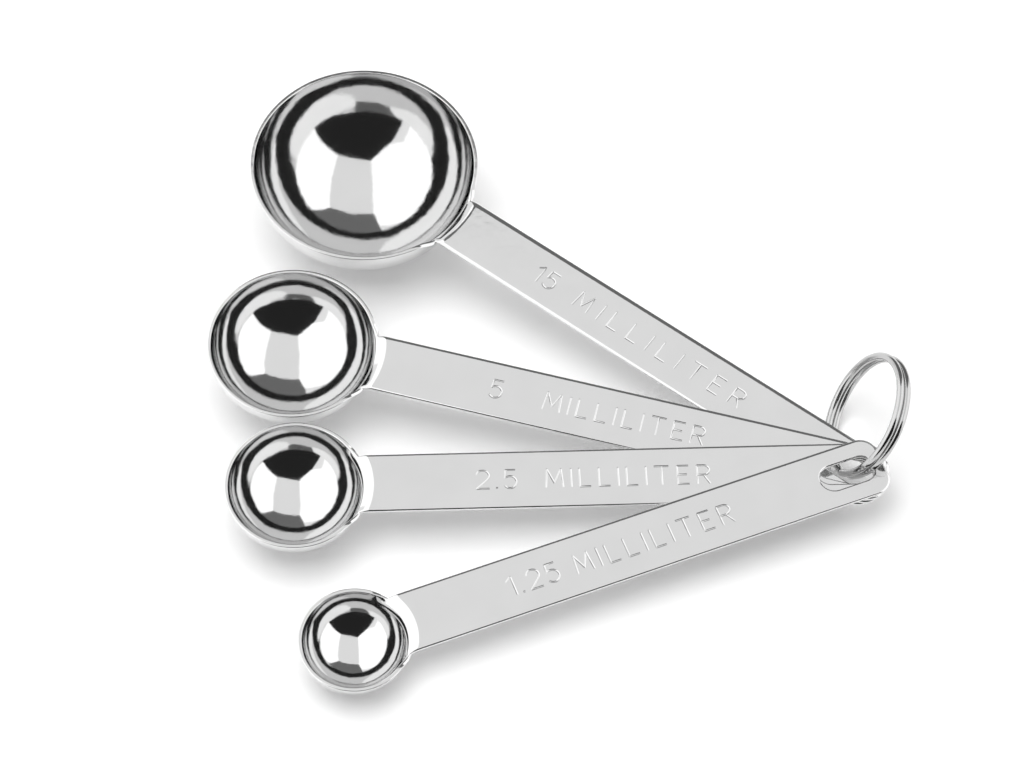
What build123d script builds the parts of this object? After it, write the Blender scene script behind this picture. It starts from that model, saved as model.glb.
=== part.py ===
"""Set of four pressed measuring spoons fanned out on a split ring.

The handles lie on one another in one tilted stack and turn about the ring wire that
passes through their slots. The set stands on the tablespoon's bowl, the quarter
teaspoon's bowl and the lowest point of the ring.
All lengths are in millimetres and angles in degrees. X runs to the right, Y away
and Z up, with the table at zero.
"""

import os
from math import acos, asin, cos, degrees, pi, radians, sin, sqrt

from build123d import *

# Sheet and handles
sheet = 0.75
running_gap = 0.05
handle_width = 11.45
end_corner_radius = 3.1
roll_over_radius = 3.4
rim_bevel = 0.18
rim_lap = 0.2
slot_length = 10.4
slot_width = 5.0
slot_end_metal = 1.8

# Bowls: inner radius of the mouth, inner depth, and reach from the rim to the handle's end
tablespoon_mouth = 20.85
tablespoon_depth = 17.55
tablespoon_reach = 94.6
teaspoon_mouth = 14.95
teaspoon_depth = 12.0
teaspoon_reach = 94.6
half_teaspoon_mouth = 11.95
half_teaspoon_depth = 9.8
half_teaspoon_reach = 93.2
quarter_teaspoon_mouth = 9.15
quarter_teaspoon_depth = 7.7
quarter_teaspoon_reach = 91.2

# Fan: angle of each handle from the one below it in the stack
teaspoon_fan = 22.0
half_teaspoon_fan = 16.4
quarter_teaspoon_fan = 18.8

# Split ring: wire, distance between its two turns and radius of its centre circle
ring_wire = 0.94
ring_turn_gap = 0.42
ring_radius = 11.2
ring_step_angle = 50.0
ring_heading = 31.0
ring_lean = 61.0
ring_hang_angle = 5.0

# Where the set stands on the table
tablespoon_heading = -36.1
hub_x = 54.917
hub_y = -21.286

pitch = sheet + running_gap
hub_from_end = slot_end_metal + slot_width / 2


# Positions in the frame of the handle stack
# Its origin is the point where the ring wire's line crosses the top of the lowest handle,
# X runs out along the lowest handle and Z along the stack.
def cup_radius(mouth, depth):
    """Inner radius of the ball that a bowl is a cap of."""
    return (mouth**2 + depth**2) / (2 * depth)


def cup_rise(mouth, depth):
    """Height of that ball's centre above the mouth."""
    return cup_radius(mouth, depth) - depth


def rim_radius(mouth, depth):
    """Outer radius of the rim."""
    return sqrt((cup_radius(mouth, depth) + sheet) ** 2 - cup_rise(mouth, depth) ** 2)


def bowl_distance(mouth, depth, reach):
    """Distance from the hub to the bowl's axis."""
    return rim_radius(mouth, depth) + reach - hub_from_end


def bowl_place(angle, level, mouth, depth, reach):
    """Centre of a bowl's mouth in the stack frame."""
    far = bowl_distance(mouth, depth, reach)
    return Vector(-far * cos(radians(angle)), -far * sin(radians(angle)), level * pitch)


teaspoon_angle = teaspoon_fan
half_teaspoon_angle = teaspoon_angle + half_teaspoon_fan
quarter_teaspoon_angle = half_teaspoon_angle + quarter_teaspoon_fan

tablespoon_place = bowl_place(0, 0, tablespoon_mouth, tablespoon_depth, tablespoon_reach)
teaspoon_place = bowl_place(teaspoon_angle, 1, teaspoon_mouth, teaspoon_depth, teaspoon_reach)
half_teaspoon_place = bowl_place(
    half_teaspoon_angle, 2, half_teaspoon_mouth, half_teaspoon_depth, half_teaspoon_reach
)
quarter_teaspoon_place = bowl_place(
    quarter_teaspoon_angle, 3, quarter_teaspoon_mouth, quarter_teaspoon_depth, quarter_teaspoon_reach
)

# The ring's axis leans from the stack's normal, and its wire passes the middle of the stack
stack_middle = Vector(0, 0, (3 * pitch - sheet) / 2)
ring_axis = Vector(
    sin(radians(ring_lean)) * cos(radians(ring_heading)),
    sin(radians(ring_lean)) * sin(radians(ring_heading)),
    -cos(radians(ring_lean)),
)
ring_level = Vector(0, 0, 1).cross(ring_axis).normalized()
ring_climb = ring_level.cross(ring_axis)
if ring_climb.Z < 0:
    ring_climb = -ring_climb
ring_out = ring_level * cos(radians(ring_hang_angle)) + ring_climb * sin(radians(ring_hang_angle))
ring_place = stack_middle + ring_out * ring_radius
turn_pitch = ring_wire + ring_turn_gap

# The table touches two bowls and the lowest point of the ring
tablespoon_ball = tablespoon_place + Vector(0, 0, cup_rise(tablespoon_mouth, tablespoon_depth))
tablespoon_ball_radius = cup_radius(tablespoon_mouth, tablespoon_depth) + sheet
quarter_ball = quarter_teaspoon_place + Vector(
    0, 0, cup_rise(quarter_teaspoon_mouth, quarter_teaspoon_depth)
)
quarter_ball_radius = cup_radius(quarter_teaspoon_mouth, quarter_teaspoon_depth) + sheet
up = Vector(0, 0, 1)
for step in range(8):
    down_in_ring = (ring_axis * up.dot(ring_axis) - up).normalized()
    lower_turn = ring_axis * (-turn_pitch / 2 if up.dot(ring_axis) > 0 else turn_pitch / 2)
    ring_foot = ring_place + down_in_ring * ring_radius + lower_turn
    first = tablespoon_ball - ring_foot
    second = quarter_ball - ring_foot
    first_rise = tablespoon_ball_radius - ring_wire / 2
    second_rise = quarter_ball_radius - ring_wire / 2
    across = first.cross(second)
    both = first.dot(first) * second.dot(second) - first.dot(second) ** 2
    along_first = (first_rise * second.dot(second) - second_rise * first.dot(second)) / both
    along_second = (second_rise * first.dot(first) - first_rise * first.dot(second)) / both
    in_plane = first * along_first + second * along_second
    upright = sqrt(1 - in_plane.dot(in_plane)) / across.length
    up = in_plane + across * (upright if across.Z > 0 else -upright)
hub_z = ring_wire / 2 - up.dot(ring_foot)

# The stack's frame as it stands on the table
level_handle = (Vector(1, 0, 0) - up * up.X).normalized()
beside_handle = up.cross(level_handle)
heading = radians(tablespoon_heading)
east = level_handle * cos(heading) - beside_handle * sin(heading)
north = level_handle * sin(heading) + beside_handle * cos(heading)


def stand(v):
    """Turn a direction of the stack frame into the standing frame."""
    return Vector(v.dot(east), v.dot(north), v.dot(up))


hub = Vector(hub_x, hub_y, hub_z)
stack_normal = stand(Vector(0, 0, 1))


def seat(place, angle):
    """Plane of a spoon's mouth with X out along its handle."""
    along = Vector(cos(radians(angle)), sin(radians(angle)), 0)
    return Plane(origin=hub + stand(place), x_dir=stand(along), z_dir=stack_normal)


tablespoon_seat = seat(tablespoon_place, 0)
teaspoon_seat = seat(teaspoon_place, teaspoon_angle)
half_teaspoon_seat = seat(half_teaspoon_place, half_teaspoon_angle)
quarter_teaspoon_seat = seat(quarter_teaspoon_place, quarter_teaspoon_angle)


# Forms that all four spoons share
def section_plane(at, swing):
    """Upright plane through a bowl's axis, swung from its handle."""
    along = at.x_dir * cos(radians(swing)) + at.y_dir * sin(radians(swing))
    return Plane(origin=at.origin, x_dir=along, z_dir=along.cross(at.z_dir))


def roll_centre(mouth, depth):
    """Distance from the bowl's axis to the centre of the roll-over's curve."""
    ball = cup_radius(mouth, depth)
    rise = cup_rise(mouth, depth)
    return sqrt((ball + roll_over_radius) ** 2 - (rise + roll_over_radius) ** 2)


def roll_direction(mouth, depth):
    """Direction from the ball's centre to the roll-over's centre."""
    out = Vector(roll_centre(mouth, depth), -roll_over_radius - cup_rise(mouth, depth))
    return out.normalized()


def drawn_bowl(at, mouth, depth):
    """Cap of a ball with a flat rim, open where the handle rolls into it.

    The opening is a little narrower than the handle, so the rim laps the handle's edges.
    """
    ball = cup_radius(mouth, depth)
    rise = cup_rise(mouth, depth)
    rim = rim_radius(mouth, depth)
    inner_half = acos(rise / ball) / 2
    outer_half = acos(rise / (ball + sheet)) / 2
    inner_middle = (ball * sin(inner_half), rise - ball * cos(inner_half))
    outer_middle = ((ball + sheet) * sin(outer_half), rise - (ball + sheet) * cos(outer_half))
    with BuildPart() as bowl:
        with BuildSketch(section_plane(at, 180)) as section:
            with BuildLine():
                ThreePointArc((0, -depth), inner_middle, (mouth, 0))
                Line((mouth, 0), (rim, 0))
                ThreePointArc((rim, 0), outer_middle, (0, -depth - sheet))
                Line((0, -depth - sheet), (0, -depth))
            make_face()
            chamfer(section.vertices().group_by(Axis.Y)[-1], rim_bevel)
        revolve(axis=Axis(at.origin, at.z_dir))
        joint_level = rise + ball * roll_direction(mouth, depth).Y
        with BuildSketch(at.offset(joint_level)):
            with Locations((rim, 0)):
                Rectangle(rim, handle_width - 2 * rim_lap)
        extrude(amount=sheet - joint_level, mode=Mode.SUBTRACT)
    return bowl.part


def rolled_handle(at, mouth, depth, reach):
    """Flat handle that rolls down into the bowl's wall, with its slot and rounded end."""
    ball = cup_radius(mouth, depth)
    rise = cup_rise(mouth, depth)
    rim = rim_radius(mouth, depth)
    end = rim + reach
    out = roll_direction(mouth, depth)
    centre = Vector(roll_centre(mouth, depth), -roll_over_radius)
    bisector = (Vector(0, 1) - out).normalized()
    inner_foot = Vector(0, rise) + out * ball
    outer_foot = Vector(0, rise) + out * (ball + sheet)
    upper_middle = centre + bisector * roll_over_radius
    lower_middle = centre + bisector * (roll_over_radius - sheet)
    with BuildPart() as handle:
        with BuildSketch(section_plane(at, -60)):
            with BuildLine():
                ThreePointArc(inner_foot, upper_middle, (centre.X, 0))
                Line((centre.X, 0), (end + handle_width, 0))
                Line((end + handle_width, 0), (end + handle_width, -sheet))
                Line((end + handle_width, -sheet), (centre.X, -sheet))
                ThreePointArc((centre.X, -sheet), lower_middle, outer_foot)
                Line(outer_foot, inner_foot)
            make_face()
        revolve(axis=Axis(at.origin, at.z_dir), revolution_arc=120)
        with BuildSketch(at) as outline:
            with Locations((end / 2, 0)):
                Rectangle(end, handle_width)
            fillet(outline.vertices().group_by(Axis.X)[-1], end_corner_radius)
            with Locations((end - slot_end_metal - slot_length / 2, 0)):
                SlotOverall(slot_length, slot_width, mode=Mode.SUBTRACT)
        extrude(amount=depth + sheet, both=True, mode=Mode.INTERSECT)
    return handle.part


def capacity(mouth, depth):
    """Millilitres that a bowl holds when level."""
    cubic_mm_per_ml = 10**3
    return pi * depth / 6 * (3 * mouth**2 + depth**2) / cubic_mm_per_ml


# Tablespoon, lowest in the stack
tablespoon_bowl = drawn_bowl(tablespoon_seat, tablespoon_mouth, tablespoon_depth)
tablespoon_handle = rolled_handle(
    tablespoon_seat, tablespoon_mouth, tablespoon_depth, tablespoon_reach
)
with BuildPart() as tablespoon:
    add(tablespoon_bowl)
    add(tablespoon_handle)
tablespoon.part.label = "tablespoon"

# Teaspoon, second in the stack
teaspoon_bowl = drawn_bowl(teaspoon_seat, teaspoon_mouth, teaspoon_depth)
teaspoon_handle = rolled_handle(teaspoon_seat, teaspoon_mouth, teaspoon_depth, teaspoon_reach)
with BuildPart() as teaspoon:
    add(teaspoon_bowl)
    add(teaspoon_handle)
teaspoon.part.label = "teaspoon"

# Half teaspoon, third in the stack
half_teaspoon_bowl = drawn_bowl(half_teaspoon_seat, half_teaspoon_mouth, half_teaspoon_depth)
half_teaspoon_handle = rolled_handle(
    half_teaspoon_seat, half_teaspoon_mouth, half_teaspoon_depth, half_teaspoon_reach
)
with BuildPart() as half_teaspoon:
    add(half_teaspoon_bowl)
    add(half_teaspoon_handle)
half_teaspoon.part.label = "half_teaspoon"

# Quarter teaspoon, on top of the stack
quarter_teaspoon_bowl = drawn_bowl(
    quarter_teaspoon_seat, quarter_teaspoon_mouth, quarter_teaspoon_depth
)
quarter_teaspoon_handle = rolled_handle(
    quarter_teaspoon_seat, quarter_teaspoon_mouth, quarter_teaspoon_depth, quarter_teaspoon_reach
)
with BuildPart() as quarter_teaspoon:
    add(quarter_teaspoon_bowl)
    add(quarter_teaspoon_handle)
quarter_teaspoon.part.label = "quarter_teaspoon"

# Split ring: one wire wound twice round, with one step from the first turn to the second
ring_centre = hub + stand(ring_place)
ring_plane = Plane(origin=ring_centre, x_dir=stand(-ring_out), z_dir=stand(ring_axis))


def on_ring(angle, height):
    """Point of the ring's centre circle, turned from the hub and raised along its axis."""
    local = Vector(ring_radius * cos(radians(angle)), ring_radius * sin(radians(angle)), height)
    return ring_plane.from_local_coords(local)


def along_ring(angle):
    """Direction of the wire at a point of the circle."""
    return ring_plane.y_dir * cos(radians(angle)) - ring_plane.x_dir * sin(radians(angle))


lower = -turn_pitch / 2
upper = turn_pitch / 2
step_start = 180.0 - ring_step_angle / 2
step_end = 180.0 + ring_step_angle / 2
first_start = step_end - 360
first_middle = (first_start + step_start) / 2
second_end = step_start + 360
second_middle = (step_end + second_end) / 2

# Two tangent arcs carry the wire from one turn to the other
start_point = on_ring(step_start, lower)
end_point = on_ring(step_end, upper)
start_way = along_ring(step_start)
end_way = along_ring(step_end)
chord = end_point - start_point
ways = start_way + end_way
spread = 2 * (1 - start_way.dot(end_way))
leg = (sqrt(chord.dot(ways) ** 2 + spread * chord.dot(chord)) - chord.dot(ways)) / spread
step_middle = (start_point + start_way * leg + end_point - end_way * leg) * 0.5
middle_way = (step_middle - (start_point + start_way * leg)).normalized()

with BuildPart() as split_ring:
    with BuildLine() as wire_path:
        TangentArc(on_ring(first_start, lower), on_ring(first_middle, lower), tangent=along_ring(first_start))
        TangentArc(on_ring(first_middle, lower), start_point, tangent=along_ring(first_middle))
        TangentArc(start_point, step_middle, tangent=start_way)
        TangentArc(step_middle, end_point, tangent=middle_way)
        TangentArc(end_point, on_ring(second_middle, upper), tangent=end_way)
        TangentArc(on_ring(second_middle, upper), on_ring(second_end, upper), tangent=along_ring(second_middle))
    with BuildSketch(Plane(origin=on_ring(first_start, lower), z_dir=along_ring(first_start))):
        Circle(ring_wire / 2)
    sweep(path=wire_path.wires()[0])
split_ring.part.label = "split_ring"

# Least gap of the ring's wire to itself, on points along it
path = wire_path.wires()[0]
steps = 240
points = [path.position_at(i / steps) for i in range(steps + 1)]
apart = int(steps * 3 * ring_wire / path.length) + 1
least = min(
    (points[i] - points[j]).length
    for i in range(steps + 1)
    for j in range(i + apart, steps + 1)
)
print("ring wire length", round(path.length, 2), "least gap to itself", round(least - ring_wire, 3))

os.makedirs("parts", exist_ok=True)
export_step(tablespoon.part, "parts/tablespoon.step")
export_step(teaspoon.part, "parts/teaspoon.step")
export_step(half_teaspoon.part, "parts/half_teaspoon.step")
export_step(quarter_teaspoon.part, "parts/quarter_teaspoon.step")
export_step(split_ring.part, "parts/split_ring.step")

print("capacities", round(capacity(tablespoon_mouth, tablespoon_depth), 2),
      round(capacity(teaspoon_mouth, teaspoon_depth), 2),
      round(capacity(half_teaspoon_mouth, half_teaspoon_depth), 2),
      round(capacity(quarter_teaspoon_mouth, quarter_teaspoon_depth), 2))
print("hub", hub, "stack normal", stack_normal)
print("ring centre", ring_centre, "ring axis", stand(ring_axis))
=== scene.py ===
"""Looks of four pressed steel measuring spoons fanned out on a split ring.

Shapes are worked out in millimetres from the values below and turned into metres where
a mesh is made. A spoon's own axes: x runs along the handle from the middle of the bowl,
y across it, and z up from the handle's top face. The studio around them is in metres.
"""

from collections import namedtuple
from math import acos, asin, atan2, cos, pi, radians, sin, sqrt

import bmesh
import bpy
from mathutils import Matrix, Vector


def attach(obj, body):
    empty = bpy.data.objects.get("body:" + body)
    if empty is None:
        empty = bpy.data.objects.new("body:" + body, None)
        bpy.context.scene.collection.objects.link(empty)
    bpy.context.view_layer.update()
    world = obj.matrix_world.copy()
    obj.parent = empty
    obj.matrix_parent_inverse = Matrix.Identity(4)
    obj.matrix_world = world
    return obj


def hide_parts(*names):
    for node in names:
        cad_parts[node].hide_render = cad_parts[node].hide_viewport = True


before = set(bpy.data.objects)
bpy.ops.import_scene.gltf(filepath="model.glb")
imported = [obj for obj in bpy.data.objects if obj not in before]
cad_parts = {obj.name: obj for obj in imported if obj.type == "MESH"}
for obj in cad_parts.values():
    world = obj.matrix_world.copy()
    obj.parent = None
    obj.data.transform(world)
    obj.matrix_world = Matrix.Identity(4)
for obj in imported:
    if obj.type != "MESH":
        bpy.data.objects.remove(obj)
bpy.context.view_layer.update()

METRES = 0.001

# Sheet, and the rounding of its edges: how far the top edge's rounding drops, its greatest width
# at a slot and at the rim, the underside's radius, and the radius of the rim's bead with the
# degrees that the bead leaves out at each foot
SHEET = 0.75
EDGE_DROP = 0.30
SLOT_EDGE = 0.35
RIM_EDGE = 0.40
UNDER_ROUND = 0.16
RIM_ROUND = 0.17
BEAD_FOOT = 18

# Handles, and the roll-over that leads from the bowl into them: its radius, how far past its
# centre the flat plate starts, how far along the rim the handle's edge fades into the rim's bead,
# and how far out from the rim the handle has sides of its own
HALF_WIDTH = 5.725
CORNER_RADIUS = 3.1
SLOT_LENGTH = 10.4
SLOT_RADIUS = 2.5
SLOT_END_METAL = 1.8
ROLL_RADIUS = 2.8
JOIN_RUN = 1.2
BLEND_RUN = 4.2
SIDE_START = 0.45

# Split ring: two turns of wire, with the step from one to the other under the handles
RING_CENTRE = Vector((56.70, -10.45, 10.62))
RING_AXIS = Vector((0.855045, -0.019918, -0.518171)).normalized()
RING_OUT = Vector((0.138712, 0.971633, 0.191544)).normalized()
RING_RADIUS = 11.2
WIRE_RADIUS = 0.70
TURN_OFFSET = 0.71
STEP_ANGLE = 215.0
STEP_HALF = 10.0

# Pressed marks: the word, the letters' height and gap, the groove's radius and depth, the length
# of its pointed ends in radii, and the bend at which a stroke is cut in two
UNIT_WORD = "MILLILITER"
MARK_HEIGHT = 3.7
MARK_GAP = 1.15
MARK_RADIUS = 0.22
MARK_DEPTH = 0.10
MARK_TIP = 0.6
MARK_CORNER = radians(35)

# Fineness of the meshes and of the sums behind them
COLUMNS = 12
EDGE_STEPS = 5
RIM_ROWS = 7
BEAD_STEPS = 4
BLEND_COLUMNS = 9
ROLL_ROWS = 10
SIDE_STEPS = 24
QUARTER_STEPS = 10
MARK_SIDES = 14
RING_SIDES = 20
RING_STEPS = 300
WELD_DISTANCE = 0.0015
MITRE_LIMIT = 1.6
STRAIGHT = 1e-4
HALVINGS = 50

# Where the spoons lie: the direction up out of the handles, and for each spoon the place of its
# origin, the heading of its handle, its bowl's mouth radius, its depth and how far above the rim
# its wall would stand upright, the handle's reach from the rim, the width of the top edge's
# rounding, the facets round the bowl, and its marks with their places along the handle
STACK_UP = Vector((0.0313864, -0.1216023, 0.9920825)).normalized()

Spoon = namedtuple("Spoon", (
    "name seat heading mouth depth rise reach edge_roll facets number number_x word_x word_end"
))

SPOONS = (
    Spoon("tablespoon", (-35.0766, 44.3384, 18.3286), (0.804155, -0.586400, -0.097318),
          20.85, 17.55, 1.4, 94.6, 1.0, 120, "15", 40.2, 49.6, 86.4),
    Spoon("teaspoon", (-47.6787, 4.4531, 14.6448), (0.967962, -0.243700, -0.060494),
          14.95, 12.0, 0.2, 94.6, 0.7, 120, "5", 37.4, 47.5, 77.2),
    Spoon("half_teaspoon", (-46.5368, -25.3301, 11.7645), (0.998918, 0.037884, -0.026959),
          11.95, 9.8, 0.4, 93.2, 0.5, 96, "2.5", 32.4, 44.8, 74.3),
    Spoon("quarter_teaspoon", (-35.4837, -55.9943, 8.4626), (0.934570, 0.355504, 0.014008),
          9.15, 7.7, 0.3, 91.2, 0.55, 96, "1.25", 28.6, 41.2, 71.3),
)

# Table: a line under the top handle, how far in front of it the table starts and ends to fall
# away, how deep it falls, how light it is, and its own light where it is looked at
TABLE_SIZE = 3.0
TABLE_LINE = Vector((0.0567, -0.0105, 0.0))
TABLE_ALONG = Vector((-0.923, -0.384, 0.0))
TABLE_ACROSS = Vector((0.384, -0.923, 0.0))
TABLE_FALL_START = 0.016
TABLE_FALL_END = 0.046
TABLE_FALL = 0.0145
TABLE_STEPS = 16
TABLE_WHITE = 0.90
TABLE_GLOW = 0.13

# Light: the world's level for what is lit, against 1 for what is seen, and a soft box overhead
SEEN_RAYS = ("Is Camera Ray", "Is Glossy Ray")
WORLD_LEVEL = 0.44
LAMP_SIZE = 0.9
LAMP_ENERGY = 8.8
LAMP_PLACE = (-0.17, -0.02, 0.99)

# Cards that only mirrors see: level, corners
CARDS = {
    "overhead_panel": (0.92, (
        (-0.12, -0.50, 1.0), (0.60, -0.64, 1.0), (0.58, 0.55, 1.0), (-0.15, 0.55, 1.0))),
    "near_black_card": (0.02, (
        (-0.90, -1.0, -0.05), (1.35, -1.0, -0.05), (1.08, -1.0, 1.80), (-0.40, -1.0, 2.20))),
    "far_dark_card": (0.17, (
        (-0.30, 0.95, -0.05), (1.08, 0.95, -0.05), (1.02, 0.95, 1.80), (-0.28, 0.95, 1.80))),
    "left_white_card": (1.4, (
        (-0.12, -0.50, 1.0), (-0.65, -1.0, 1.0), (-1.3, -1.2, 1.0), (-1.3, 1.2, 1.0),
        (-0.30, 0.95, 1.0), (-0.15, 0.55, 1.0))),
    "right_white_card": (1.4, (
        (0.60, -0.64, 1.0), (1.20, -1.0, 1.0), (1.6, -1.2, 1.0), (1.6, 1.2, 1.0),
        (1.05, 0.95, 1.0), (0.58, 0.55, 1.0))),
    "left_white_wall": (1.4, (
        (-1.3, -1.2, 0.0), (-1.3, 1.2, 0.0), (-1.3, 1.2, 1.0), (-1.3, -1.2, 1.0))),
    "right_white_wall": (1.4, (
        (1.6, -1.2, 0.0), (1.6, 1.2, 0.0), (1.6, 1.2, 1.0), (1.6, -1.2, 1.0))),
}

# Camera
LENS = 113.89
SENSOR_WIDTH = 36.0
CLIP_START = 0.01
CAMERA_PLACE = (-0.01155, -0.35847, 0.48421)
CAMERA_ELEVATION = 53.070
CAMERA_HEADING = -0.643


def arc(cx, cy, rx, ry, start, end, count):
    """Points on an ellipse arc, angles in degrees."""
    turns = [radians(start + (end - start) * k / count) for k in range(count + 1)]
    return [(cx + rx * cos(a), cy + ry * sin(a)) for a in turns]


# Single-stroke characters: width, and strokes on a grid one unit high
GLYPHS = {
    "1": (0.30, [[(0.0, 0.78), (0.30, 1.0), (0.30, 0.0)]]),
    "2": (0.62, [arc(0.31, 0.70, 0.31, 0.30, 165, -40, 12) + [(0.0, 0.0), (0.62, 0.0)]]),
    "5": (0.60, [[(0.56, 1.0), (0.08, 1.0), (0.04, 0.56)]
                 + arc(0.28, 0.33, 0.32, 0.33, 125, -145, 14)]),
    ".": (0.10, [[(0.0, 0.03), (0.10, 0.03)]]),
    "M": (0.84, [[(0.0, 0.0), (0.08, 1.0), (0.42, 0.22), (0.76, 1.0), (0.84, 0.0)]]),
    "I": (0.0, [[(0.0, 0.0), (0.0, 1.0)]]),
    "L": (0.54, [[(0.0, 1.0), (0.0, 0.0), (0.54, 0.0)]]),
    "T": (0.72, [[(0.0, 1.0), (0.72, 1.0)], [(0.36, 1.0), (0.36, 0.0)]]),
    "E": (0.56, [[(0.56, 1.0), (0.0, 1.0), (0.0, 0.0), (0.56, 0.0)], [(0.0, 0.52), (0.46, 0.52)]]),
    "R": (0.60, [[(0.0, 0.0), (0.0, 1.0)] + arc(0.32, 0.74, 0.28, 0.26, 90, -90, 10)
                 + [(0.0, 0.48)],
                 [(0.30, 0.48), (0.60, 0.0)]]),
}


def spoon_matrix(spoon):
    """From a spoon's own millimetres to the frame's metres."""
    x_axis = Vector(spoon.heading).normalized()
    y_axis = STACK_UP.cross(x_axis)
    turn = Matrix((x_axis, y_axis, STACK_UP)).transposed().to_4x4()
    turn.translation = Vector(spoon.seat)
    return Matrix.Scale(METRES, 4) @ turn


def halve(low, high, is_past):
    """The angle between low and high from which is_past holds, in radians, found by halving."""
    for _ in range(HALVINGS):
        middle = (low + high) / 2
        if is_past(middle):
            high = middle
        else:
            low = middle
    return low


# A row is a point of a spoon's top face, as radius and height from the bowl's axis, and the
# direction out of the metal there, as its parts along the radius and upwards


def sunk(row, depth):
    """The row's radius and height, a depth below the top face."""
    return row[0] - depth * row[2], row[1] - depth * row[3]


def bowl_row(spoon, angle):
    """Row of the bowl's inner face, at an angle up from its lowest point. The bowl is a little
    flatter than a ball in the middle and more upright at the rim."""
    high = spoon.depth + spoon.rise
    wide = spoon.mouth / sqrt(1 - (spoon.rise / high) ** 2)
    out = Vector((-sin(angle) / wide, cos(angle) / high)).normalized()
    return (wide * sin(angle), spoon.rise - high * cos(angle), out.x, out.y)


def bowl_angle(spoon, height, depth):
    """Where on the bowl its face, a depth into the sheet, has that height."""
    return halve(radians(20), radians(100), lambda a: sunk(bowl_row(spoon, a), depth)[1] > height)


def tangent_angle(spoon):
    """Where on the bowl the roll-over into the handle starts."""
    return halve(radians(45), radians(90),
                 lambda a: sunk(bowl_row(spoon, a), ROLL_RADIUS)[1] + ROLL_RADIUS > 0)


def roll_centre(spoon):
    """Distance from the bowl's axis to the centre of the roll-over into the handle."""
    return sunk(bowl_row(spoon, tangent_angle(spoon)), ROLL_RADIUS)[0]


def roll_start(spoon):
    """Direction from the roll-over's centre to where it leaves the bowl."""
    row = bowl_row(spoon, tangent_angle(spoon))
    return atan2(row[3], row[2])


def roll_row(spoon, share):
    """Row of the roll-over, share 0 at the bowl and 1 at the handle."""
    start = roll_start(spoon)
    angle = start + (pi / 2 - start) * share
    height = -ROLL_RADIUS + ROLL_RADIUS * sin(angle)
    return (roll_centre(spoon) + ROLL_RADIUS * cos(angle), height, cos(angle), sin(angle))


def roll_share(spoon, radius):
    """How far along the roll-over its top face has that distance from the bowl's axis."""
    start = roll_start(spoon)
    return (acos((radius - roll_centre(spoon)) / ROLL_RADIUS) - start) / (pi / 2 - start)


def roll_point(spoon, share, y, depth):
    """Point of the roll-over at a distance y from the handle's middle line."""
    radius, height = sunk(roll_row(spoon, share), depth)
    return (sqrt(radius ** 2 - y ** 2), y, height)


def rim_radius(spoon):
    """Outer radius of the bowl at the rim."""
    return spoon.mouth + SHEET


def handle_end(spoon):
    """Where the handle ends along x."""
    return rim_radius(spoon) + spoon.reach


def join_x(spoon):
    """Where along x the bowl's part meets the flat handle."""
    return roll_centre(spoon) + JOIN_RUN


def edge_profile(spoon):
    """The sheet's rounded edge as (inset from its outline, depth), from the top face down."""
    turns = [pi / 2 * k / EDGE_STEPS for k in range(EDGE_STEPS + 1)]
    top = [(spoon.edge_roll * (1 - sin(a)), EDGE_DROP * (1 - cos(a))) for a in turns]
    under = [(UNDER_ROUND * (1 - sin(a)), SHEET - UNDER_ROUND * (1 - cos(a)))
             for a in reversed(turns)]
    return top + under


def narrowed(spoon, inset, depth, width):
    """An edge profile's inset where the top edge has room for that width of rounding only."""
    return inset * min(1.0, width / spoon.edge_roll) if depth < SHEET / 2 else inset


def spread(half):
    """Evenly spaced places from one side of the handle to the other."""
    return [half * (2 * k / COLUMNS - 1) for k in range(COLUMNS + 1)]


def section(spoon):
    """The sheet's outline across the handle as (y, depth), round from the top's -y edge."""
    edge = edge_profile(spoon)
    side = [(HALF_WIDTH - inset, depth) for inset, depth in edge[1:-1]]
    top = [(y, 0.0) for y in spread(HALF_WIDTH - edge[0][0])]
    under = [(-y, SHEET) for y in spread(HALF_WIDTH - edge[-1][0])]
    return top + side + under + [(-y, depth) for y, depth in reversed(side)]


def add_loop(mesh, points):
    """Vertices at the points."""
    return [mesh.verts.new(p) for p in points]


def bridge(mesh, first, second, closed=True):
    """Quads between two loops of the same length."""
    count = len(first)
    for k in range(count if closed else count - 1):
        j = (k + 1) % count
        mesh.faces.new((first[k], first[j], second[j], second[k]))


def bridge_rows(mesh, rows, closed):
    """Quads from each row of points to the next. Returns the first row's vertices."""
    loops = [add_loop(mesh, points) for points in rows]
    for first, second in zip(loops, loops[1:]):
        bridge(mesh, first, second, closed)
    return loops[0]


def plain_rim(spoon, tangent):
    """The rim away from the handle as (radius, height): up inside, over its bead, down outside."""
    inner = bowl_angle(spoon, -RIM_ROUND, 0.0)
    outer = bowl_angle(spoon, -RIM_ROUND, SHEET)
    inside = sunk(bowl_row(spoon, inner), 0.0)[0] + RIM_ROUND
    outside = sunk(bowl_row(spoon, outer), SHEET)[0] - RIM_ROUND
    steps = [k / RIM_ROWS for k in range(RIM_ROWS + 1)]
    up = [sunk(bowl_row(spoon, tangent + (inner - tangent) * step), 0.0) for step in steps]
    over = arc(inside, -RIM_ROUND, RIM_ROUND, RIM_ROUND, 180 - BEAD_FOOT, 90, BEAD_STEPS)
    over += arc(outside, -RIM_ROUND, RIM_ROUND, RIM_ROUND, 90, BEAD_FOOT, BEAD_STEPS)
    down = [sunk(bowl_row(spoon, outer + (tangent - outer) * step), SHEET) for step in steps]
    return up + over + down


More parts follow.
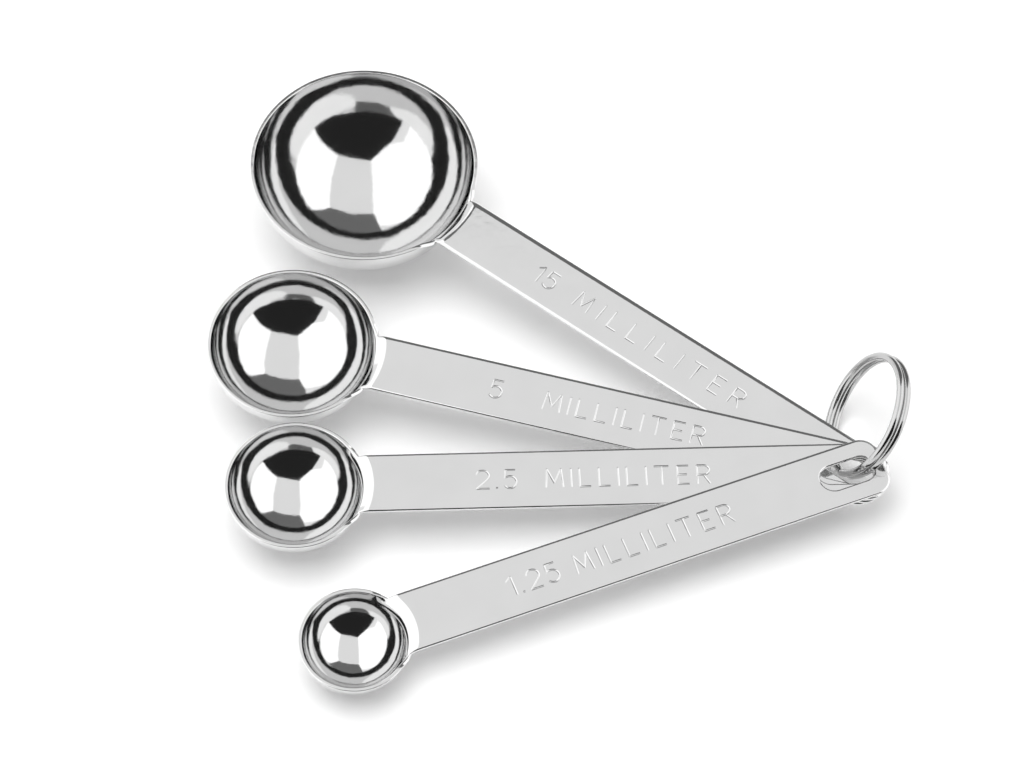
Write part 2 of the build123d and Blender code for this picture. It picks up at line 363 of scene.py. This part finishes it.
def rolled_rim(spoon):
    """The rim beside the handle as (radius, height, distance from the handle's middle line)."""
    edge = edge_profile(spoon)
    rim = rim_radius(spoon)
    steps = [k / RIM_ROWS for k in range(RIM_ROWS + 1)]
    last = roll_share(spoon, rim - narrowed(spoon, *edge[0], RIM_EDGE))
    points = [(*sunk(roll_row(spoon, last * step), 0.0), HALF_WIDTH - edge[0][0])
              for step in steps]
    for inset, depth in edge[1:-1]:
        row = roll_row(spoon, roll_share(spoon, rim - narrowed(spoon, inset, depth, RIM_EDGE)))
        points.append((*sunk(row, depth), HALF_WIDTH - inset))
    last = roll_share(spoon, rim - edge[-1][0])
    for step in steps:
        points.append((*sunk(roll_row(spoon, last * (1 - step)), SHEET), HALF_WIDTH - edge[-1][0]))
    return points


def turn_angles(spoon, start):
    """Angles round the bowl from one side of the handle to the other, closer beside it."""
    blend = BLEND_RUN / rim_radius(spoon)
    first = [start + blend * k / BLEND_COLUMNS for k in range(BLEND_COLUMNS)]
    middle = spoon.facets - 2 * BLEND_COLUMNS
    reach = 2 * (pi - start - blend)
    rest = [start + blend + reach * k / middle for k in range(middle + 1)]
    return first + rest + [2 * pi - a for a in reversed(first)]


def add_bowl_face(mesh, spoon, tangent, depth, inset):
    """The bowl's inner or outer face, up to where the handle leaves it."""
    reference = sunk(bowl_row(spoon, tangent), depth)[0]
    window = [asin(y / reference) for y in spread(HALF_WIDTH - inset)]
    angles = window[:-1] + turn_angles(spoon, window[-1])[:-1]
    count = spoon.facets // 3
    rows = []
    for k in range(1, count + 1):
        radius, height = sunk(bowl_row(spoon, tangent * k / count), depth)
        rows.append([(radius * cos(a), radius * sin(a), height) for a in angles])
    pole = mesh.verts.new((0.0, 0.0, sunk(bowl_row(spoon, 0.0), depth)[1]))
    first = bridge_rows(mesh, rows, closed=True)
    for k, vertex in enumerate(first):
        mesh.faces.new((pole, vertex, first[(k + 1) % len(first)]))


def rim_rows(spoon, tangent):
    """Rows of the rim round the bowl, rolled over beside the handle and plain elsewhere."""
    blend = BLEND_RUN / rim_radius(spoon)
    plain = plain_rim(spoon, tangent)
    for (plain_radius, plain_height), (radius, height, y) in zip(plain, rolled_rim(spoon)):
        start = asin(y / radius)
        points = []
        for angle in turn_angles(spoon, start):
            away = min(angle - start, 2 * pi - start - angle) / blend
            share = (1 - away) ** 2 * (1 + 2 * away) if away < 1 else 0.0
            r = plain_radius + (radius - plain_radius) * share
            h = plain_height + (height - plain_height) * share
            points.append((r * cos(angle), r * sin(angle), h))
        yield points


def roll_rows(spoon, depth, inset):
    """Rows of the roll-over between the handle's sides, as far out as the rim, above or below."""
    reach = roll_share(spoon, rim_radius(spoon) - narrowed(spoon, inset, depth, RIM_EDGE))
    places = spread(HALF_WIDTH - inset)
    for k in range(RIM_ROWS + 1):
        yield [roll_point(spoon, reach * k / RIM_ROWS, y, depth) for y in places]


def side_rows(spoon):
    """Rows all round the handle from the rim out to the join, where it has sides of its own."""
    rim = rim_radius(spoon)
    ring = section(spoon)
    shares = {}
    for inset, depth in edge_profile(spoon):
        shares[round(depth, 6)] = roll_share(spoon, rim - narrowed(spoon, inset, depth, RIM_EDGE))
    yield [roll_point(spoon, shares[round(depth, 6)], y, depth) for y, depth in ring]
    start = roll_share(spoon, rim + SIDE_START)
    for k in range(ROLL_ROWS + 1):
        share = start + (1 - start) * k / ROLL_ROWS
        yield [roll_point(spoon, share, y, depth) for y, depth in ring]
    yield [(join_x(spoon), y, -depth) for y, depth in ring]


def bowl_mesh(spoon):
    """The drawn bowl with its rim, the roll-over and the first of the handle, open at the join."""
    mesh = bmesh.new()
    tangent = tangent_angle(spoon)
    edge = edge_profile(spoon)
    faces = ((0.0, edge[0][0]), (SHEET, edge[-1][0]))
    for depth, inset in faces:
        add_bowl_face(mesh, spoon, tangent, depth, inset)
    bridge_rows(mesh, rim_rows(spoon, tangent), closed=False)
    for depth, inset in faces:
        bridge_rows(mesh, roll_rows(spoon, depth, inset), closed=False)
    bridge_rows(mesh, side_rows(spoon), closed=True)
    bmesh.ops.remove_doubles(mesh, verts=mesh.verts[:], dist=WELD_DISTANCE)
    bmesh.ops.dissolve_degenerate(mesh, dist=WELD_DISTANCE / 3, edges=mesh.edges[:])
    bmesh.ops.recalc_face_normals(mesh, faces=mesh.faces[:])
    return mesh


def quarter_turn(start, first, last):
    """Steps of a quarter turn, from start degrees, counted from first to last."""
    return [radians(start + 90 * k / QUARTER_STEPS) for k in range(first, last + 1)]


def handle_outline(spoon):
    """The flat handle's edge with its outward directions, from the join's -y corner to its +y."""
    end = handle_end(spoon)
    join = join_x(spoon)
    centre_x = end - CORNER_RADIUS
    centre_y = HALF_WIDTH - CORNER_RADIUS
    run = centre_x - join
    side = [(join + run * k / SIDE_STEPS, -HALF_WIDTH, 0.0, -1.0) for k in range(SIDE_STEPS)]
    corner = [
        (centre_x + CORNER_RADIUS * cos(a), -centre_y + CORNER_RADIUS * sin(a), cos(a), sin(a))
        for a in quarter_turn(-90, 0, QUARTER_STEPS)
    ]
    half = side + corner
    return half + [(end, 0.0, 1.0, 0.0)] + [(x, -y, nx, -ny) for x, y, nx, ny in reversed(half)]


def slot_outline(spoon):
    """The slot's edge with the directions into the metal, clockwise from its left tip."""
    right = handle_end(spoon) - SLOT_END_METAL - SLOT_RADIUS
    left = right - SLOT_LENGTH + 2 * SLOT_RADIUS
    turns = [(left, a) for a in quarter_turn(180, -QUARTER_STEPS, 0)[::-1]]
    turns += [(right, a) for a in quarter_turn(0, 0, QUARTER_STEPS)[::-1]]
    turns += [(right, a) for a in quarter_turn(-90, 0, QUARTER_STEPS - 1)[::-1]]
    turns += [(left, a) for a in quarter_turn(-180, 1, QUARTER_STEPS)[::-1]]
    return [(x + SLOT_RADIUS * cos(a), SLOT_RADIUS * sin(a), cos(a), sin(a)) for x, a in turns]


def offset_loop(mesh, outline, distance, depth):
    """Vertices of an outline moved along its directions, a depth below the top face."""
    return add_loop(mesh, [(x + nx * distance, y + ny * distance, -depth)
                           for x, y, nx, ny in outline])


def plate_mesh(spoon):
    """The flat part of the handle as a closed solid with its slot and rounded edges."""
    mesh = bmesh.new()
    edge = edge_profile(spoon)
    outline = handle_outline(spoon)
    slot = slot_outline(spoon)
    edge_loops = []
    slot_loops = []
    for inset, depth in edge:
        edge_loops.append(offset_loop(mesh, outline, -inset, depth))
        hole = narrowed(spoon, inset, depth, SLOT_EDGE)
        slot_loops.append(offset_loop(mesh, slot, hole, depth))
    for first, second in zip(edge_loops, edge_loops[1:]):
        bridge(mesh, first, second, closed=False)
    for first, second in zip(slot_loops, slot_loops[1:]):
        bridge(mesh, first, second)

    # Top and bottom faces, each in two halves that meet on the middle line
    middle = len(outline) // 2
    right_tip = 2 * QUARTER_STEPS + 1
    ends = []
    for side, depth in ((0, 0.0), (-1, SHEET)):
        outer = edge_loops[side]
        hole = slot_loops[side]
        places = spread(HALF_WIDTH - edge[side][0])[1:-1]
        end = add_loop(mesh, [(join_x(spoon), y, -depth) for y in places])
        ends.append(end)
        centre = len(end) // 2
        mesh.faces.new(outer[:middle + 1] + hole[right_tip:] + [hole[0]] + end[centre::-1])
        mesh.faces.new(outer[middle:] + end[:centre - 1:-1] + hole[:right_tip + 1])
    cap = [loop[0] for loop in edge_loops] + ends[1] + [loop[-1] for loop in reversed(edge_loops)]
    mesh.faces.new(cap + ends[0][::-1])
    bmesh.ops.recalc_face_normals(mesh, faces=mesh.faces[:])
    return mesh


def tube(mesh, points, radius, sides, tip):
    """A closed round bar along points, its ends flat or drawn to a tip."""
    count = len(points)
    path = [Vector(p) for p in points]
    side = None
    last = None
    for k in range(count):
        before = (path[k] - path[k - 1]).normalized() if k else (path[1] - path[0]).normalized()
        after = (path[k + 1] - path[k]).normalized() if k < count - 1 else before
        along = (before + after).normalized()
        if side is None:
            side = along.orthogonal().normalized()
        side = (side - along * side.dot(along)).normalized()
        other = along.cross(side)
        stretch = 1.0 / max(1.0 / MITRE_LIMIT, along.dot(after))
        fold = before.cross(after)
        outward = fold.cross(along).normalized() if fold.length > STRAIGHT else None
        loop = []
        for j in range(sides):
            angle = 2 * pi * j / sides
            offset = (side * cos(angle) + other * sin(angle)) * radius
            if outward is not None:
                offset += outward * offset.dot(outward) * (stretch - 1)
            loop.append(mesh.verts.new(path[k] + offset))
        if last is None:
            start = mesh.verts.new(path[0] - along * tip)
            for j in range(sides):
                mesh.faces.new((start, loop[(j + 1) % sides], loop[j]))
        else:
            bridge(mesh, last, loop)
        last = loop
    finish = mesh.verts.new(path[-1] + along * tip)
    for j in range(sides):
        mesh.faces.new((finish, last[j], last[(j + 1) % sides]))
    bmesh.ops.recalc_face_normals(mesh, faces=mesh.faces[:])


def smooth_runs(points):
    """The stroke cut into runs at its sharp corners."""
    runs = [[points[0]]]
    for k in range(1, len(points)):
        runs[-1].append(points[k])
        if k < len(points) - 1:
            before = Vector(points[k]) - Vector(points[k - 1])
            after = Vector(points[k + 1]) - Vector(points[k])
            if before.angle(after) > MARK_CORNER:
                runs.append([points[k]])
    return runs


def stroke_lines(text, start, end=None):
    """Strokes of a line of text along the handle, in the spoon's own x and y. With an end given,
    the letters spread out to reach it."""
    widths = [GLYPHS[letter][0] * MARK_HEIGHT for letter in text]
    gap = MARK_GAP if end is None else (end - start - sum(widths)) / (len(text) - 1)
    x = start
    lines = []
    for letter, width in zip(text, widths):
        for stroke in GLYPHS[letter][1]:
            placed = [(x + u * MARK_HEIGHT, (v - 0.5) * MARK_HEIGHT) for u, v in stroke]
            lines += smooth_runs(placed)
        x += width + gap
    return lines


def mesh_object(name, mesh):
    """An object of the scene from a bmesh, which is used up."""
    data = bpy.data.meshes.new(name)
    mesh.to_mesh(data)
    mesh.free()
    thing = bpy.data.objects.new(name, data)
    bpy.context.scene.collection.objects.link(thing)
    return thing


def pressed(plate, lines):
    """The plate's mesh with one groove pressed along each stroke."""
    work = mesh_object("plate_work", plate)
    height = MARK_RADIUS - MARK_DEPTH
    for line in lines:
        cutter_mesh = bmesh.new()
        path = [(x, y, height) for x, y in line]
        tube(cutter_mesh, path, MARK_RADIUS, MARK_SIDES, tip=MARK_RADIUS * MARK_TIP)
        cutter = mesh_object("stroke_work", cutter_mesh)
        cut = work.modifiers.new("cut", "BOOLEAN")
        cut.operation = "DIFFERENCE"
        cut.solver = "EXACT"
        cut.object = cutter
        bpy.context.view_layer.update()
        evaluated = work.evaluated_get(bpy.context.evaluated_depsgraph_get())
        result = bpy.data.meshes.new_from_object(evaluated)
        work.modifiers.remove(cut)
        work.data = result
        bpy.data.objects.remove(cutter)
    data = work.data
    bpy.data.objects.remove(work)
    return data


def smooth(thing, sharp):
    """Smooth faces, with edges sharp beyond that many degrees and flat faces kept flat."""
    for polygon in thing.data.polygons:
        polygon.use_smooth = True
    thing.data.set_sharp_from_angle(angle=radians(sharp))
    weighted = thing.modifiers.new("flat faces stay flat", "WEIGHTED_NORMAL")
    weighted.mode = "FACE_AREA"
    weighted.keep_sharp = True


def make_spoon(spoon):
    """One pressed spoon as a single closed skin."""
    mesh = bowl_mesh(spoon)
    lines = stroke_lines(spoon.number, spoon.number_x)
    lines += stroke_lines(UNIT_WORD, spoon.word_x, spoon.word_end)
    mesh.from_mesh(pressed(plate_mesh(spoon), lines))
    join = join_x(spoon)
    cap = [f for f in mesh.faces if all(abs(v.co.x - join) < WELD_DISTANCE for v in f.verts)]
    bmesh.ops.delete(mesh, geom=cap, context="FACES")
    bmesh.ops.remove_doubles(mesh, verts=mesh.verts[:], dist=WELD_DISTANCE)
    bmesh.ops.recalc_face_normals(mesh, faces=mesh.faces[:])
    thing = mesh_object(spoon.name + "_pressing", mesh)
    thing.data.transform(spoon_matrix(spoon))
    smooth(thing, sharp=38)
    return thing


def ring_path():
    """Centre line of the ring's two turns, which lie against each other."""
    side = RING_AXIS.cross(RING_OUT)
    start = STEP_ANGLE + STEP_HALF
    total = 720.0 - 2 * STEP_HALF
    climb_start = 360.0 - 2 * STEP_HALF
    points = []
    for k in range(RING_STEPS + 1):
        run = total * k / RING_STEPS
        share = min(1.0, max(0.0, (run - climb_start) / (2 * STEP_HALF)))
        lift = TURN_OFFSET * (2 * share * share * (3 - 2 * share) - 1)
        angle = radians(start + run)
        outward = RING_OUT * cos(angle) + side * sin(angle)
        points.append(RING_CENTRE + outward * RING_RADIUS + RING_AXIS * lift)
    return points


def make_ring():
    """The wound wire as one closed skin."""
    mesh = bmesh.new()
    tube(mesh, ring_path(), WIRE_RADIUS, RING_SIDES, tip=0.0)
    thing = mesh_object("wound_ring", mesh)
    thing.data.transform(Matrix.Scale(METRES, 4))
    smooth(thing, sharp=50)
    return thing


def node(tree, kind, **values):
    """A shader node with its input defaults set by name."""
    made = tree.nodes.new(kind)
    for name, value in values.items():
        made.inputs[name.replace("_", " ")].default_value = value
    return made


def grey(level):
    """A colour without hue."""
    return (level, level, level, 1.0)


def steel(name, base, shade, roughness, peel, scratch):
    """Polished stainless steel: faint colour clouds, uneven polish, rolled texture, fine wear."""
    material = bpy.data.materials.new(name)
    material.use_nodes = True
    tree = material.node_tree
    links = tree.links
    shader = tree.nodes["Principled BSDF"]
    shader.inputs["Metallic"].default_value = 1.0
    place = node(tree, "ShaderNodeTexCoord")
    clouds = node(tree, "ShaderNodeTexNoise", Scale=140.0, Detail=3.0)
    wear = node(tree, "ShaderNodeTexNoise", Scale=900.0, Detail=4.0)
    rolled = node(tree, "ShaderNodeTexNoise", Scale=260.0, Detail=2.0)
    stretch = node(tree, "ShaderNodeMapping", Scale=(700.0, 5200.0, 5200.0))
    fine = node(tree, "ShaderNodeTexNoise", Scale=1.0, Detail=3.0)
    for texture in (clouds, wear, rolled, stretch):
        links.new(place.outputs["Object"], texture.inputs["Vector"])
    links.new(stretch.outputs["Vector"], fine.inputs["Vector"])

    # The colour mixer's sockets: 0 is the factor, 6 and 7 the two colours, 2 the mixed colour
    colour = node(tree, "ShaderNodeMix")
    colour.data_type = "RGBA"
    colour.inputs[6].default_value = grey(base)
    colour.inputs[7].default_value = grey(shade)
    links.new(clouds.outputs["Fac"], colour.inputs[0])
    links.new(colour.outputs[2], shader.inputs["Base Color"])

    polish = node(tree, "ShaderNodeMapRange", From_Min=0.3, From_Max=0.75,
                  To_Min=roughness * 0.8, To_Max=roughness * 1.35)
    links.new(wear.outputs["Fac"], polish.inputs["Value"])
    links.new(polish.outputs["Result"], shader.inputs["Roughness"])

    bump_peel = node(tree, "ShaderNodeBump", Strength=peel, Distance=0.0002)
    links.new(rolled.outputs["Fac"], bump_peel.inputs["Height"])
    bump_fine = node(tree, "ShaderNodeBump", Strength=scratch, Distance=0.00005)
    links.new(fine.outputs["Fac"], bump_fine.inputs["Height"])
    links.new(bump_peel.outputs["Normal"], bump_fine.inputs["Normal"])
    links.new(bump_fine.outputs["Normal"], shader.inputs["Normal"])
    return material


def bare_material(name):
    """A material with nothing but its output, and that output's surface socket."""
    material = bpy.data.materials.new(name)
    material.use_nodes = True
    material.node_tree.nodes.clear()
    return material, material.node_tree.nodes.new("ShaderNodeOutputMaterial").inputs["Surface"]


def seen_share(tree, rays):
    """A socket that is 1 for these kinds of rays, which look at things, and 0 for all others."""
    path = tree.nodes.new("ShaderNodeLightPath")
    socket = path.outputs[rays[0]]
    for ray in rays[1:]:
        either = tree.nodes.new("ShaderNodeMath")
        either.operation = "MAXIMUM"
        tree.links.new(socket, either.inputs[0])
        tree.links.new(path.outputs[ray], either.inputs[1])
        socket = either.outputs[0]
    return socket


def make_card(name, level, corners):
    """A studio card of one level that only mirrors see."""
    mesh = bmesh.new()
    mesh.faces.new(add_loop(mesh, corners))
    card = mesh_object(name, mesh)
    material, surface = bare_material(name + "_glow")
    tree = material.node_tree
    light = node(tree, "ShaderNodeEmission", Color=grey(level))
    tree.links.new(light.outputs["Emission"], surface)
    card.data.materials.append(material)
    card.visible_camera = False
    card.visible_diffuse = False
    card.visible_shadow = False
    card.visible_transmission = False


def make_floor():
    """A pale table that is white where it is lit and keeps the shadows. In front of the top
    handle it falls away softly, so that the spoons that are swung down there clear it."""
    levels = [(-TABLE_SIZE, 0.0)]
    for step in range(TABLE_STEPS + 1):
        share = step / TABLE_STEPS
        far = TABLE_FALL_START + (TABLE_FALL_END - TABLE_FALL_START) * share
        levels.append((far, -TABLE_FALL * (1 - cos(pi * share)) / 2))
    levels.append((TABLE_SIZE, -TABLE_FALL))
    mesh = bmesh.new()
    rows = []
    for far, height in levels:
        middle = TABLE_LINE + TABLE_ACROSS * far + Vector((0.0, 0.0, height))
        rows.append((middle - TABLE_ALONG * TABLE_SIZE, middle + TABLE_ALONG * TABLE_SIZE))
    bridge_rows(mesh, rows, closed=False)
    for face in mesh.faces:
        face.smooth = True
    floor = mesh_object("table_top", mesh)
    material, surface = bare_material("table_white")
    tree = material.node_tree
    links = tree.links
    base = node(tree, "ShaderNodeBsdfDiffuse", Color=grey(TABLE_WHITE))
    light = tree.nodes.new("ShaderNodeEmission")
    level = tree.nodes.new("ShaderNodeMath")
    level.operation = "MULTIPLY"
    level.inputs[1].default_value = TABLE_GLOW
    links.new(seen_share(tree, SEEN_RAYS + ("Is Transmission Ray",)), level.inputs[0])
    links.new(level.outputs[0], light.inputs["Strength"])
    total = tree.nodes.new("ShaderNodeAddShader")
    links.new(base.outputs["BSDF"], total.inputs[0])
    links.new(light.outputs["Emission"], total.inputs[1])
    links.new(total.outputs["Shader"], surface)
    floor.data.materials.append(material)


def make_world():
    """White to look at, and a plain level of light for what is lit."""
    world = bpy.data.worlds.new("white_studio")
    bpy.context.scene.world = world
    world.use_nodes = True
    tree = world.node_tree
    background = tree.nodes["Background"]
    background.inputs["Color"].default_value = grey(1.0)
    level = node(tree, "ShaderNodeMapRange", To_Min=WORLD_LEVEL, To_Max=1.0)
    tree.links.new(seen_share(tree, SEEN_RAYS), level.inputs["Value"])
    tree.links.new(level.outputs["Result"], background.inputs["Strength"])


def make_lamp():
    """A soft box overhead, a little to the left, for the shadows."""
    data = bpy.data.lights.new("overhead_softbox", "AREA")
    data.shape = "RECTANGLE"
    data.size = LAMP_SIZE
    data.size_y = LAMP_SIZE
    data.energy = LAMP_ENERGY
    lamp = bpy.data.objects.new("overhead_softbox", data)
    lamp.location = LAMP_PLACE
    lamp.visible_glossy = False
    lamp.visible_camera = False
    bpy.context.scene.collection.objects.link(lamp)


def make_camera():
    """The camera at the photograph's place."""
    data = bpy.data.cameras.new("camera")
    data.sensor_width = SENSOR_WIDTH
    data.lens = LENS
    data.clip_start = CLIP_START
    camera = bpy.data.objects.new("camera", data)
    camera.location = CAMERA_PLACE
    camera.rotation_euler = (radians(90 - CAMERA_ELEVATION), 0.0, radians(CAMERA_HEADING))
    bpy.context.scene.collection.objects.link(camera)
    return camera


# Spoons and ring
spoon_steel = steel("polished_spoon_steel", 0.78, 0.72, roughness=0.07, peel=0.16, scratch=0.06)
ring_steel = steel("bright_ring_wire", 0.60, 0.50, roughness=0.13, peel=0.08, scratch=0.12)

for spoon in SPOONS:
    pressing = make_spoon(spoon)
    pressing.data.materials.append(spoon_steel)
    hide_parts(spoon.name)
    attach(pressing, spoon.name + "_body")

ring = make_ring()
ring.data.materials.append(ring_steel)
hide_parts("split_ring")
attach(ring, "ring_body")

# Studio: a pale table in white surroundings, with cards for the steel to mirror
make_floor()
for name, (level, corners) in CARDS.items():
    make_card(name, level, corners)
make_world()
make_lamp()

bpy.context.scene.camera = make_camera()
bpy.context.scene.view_settings.view_transform = "Standard"
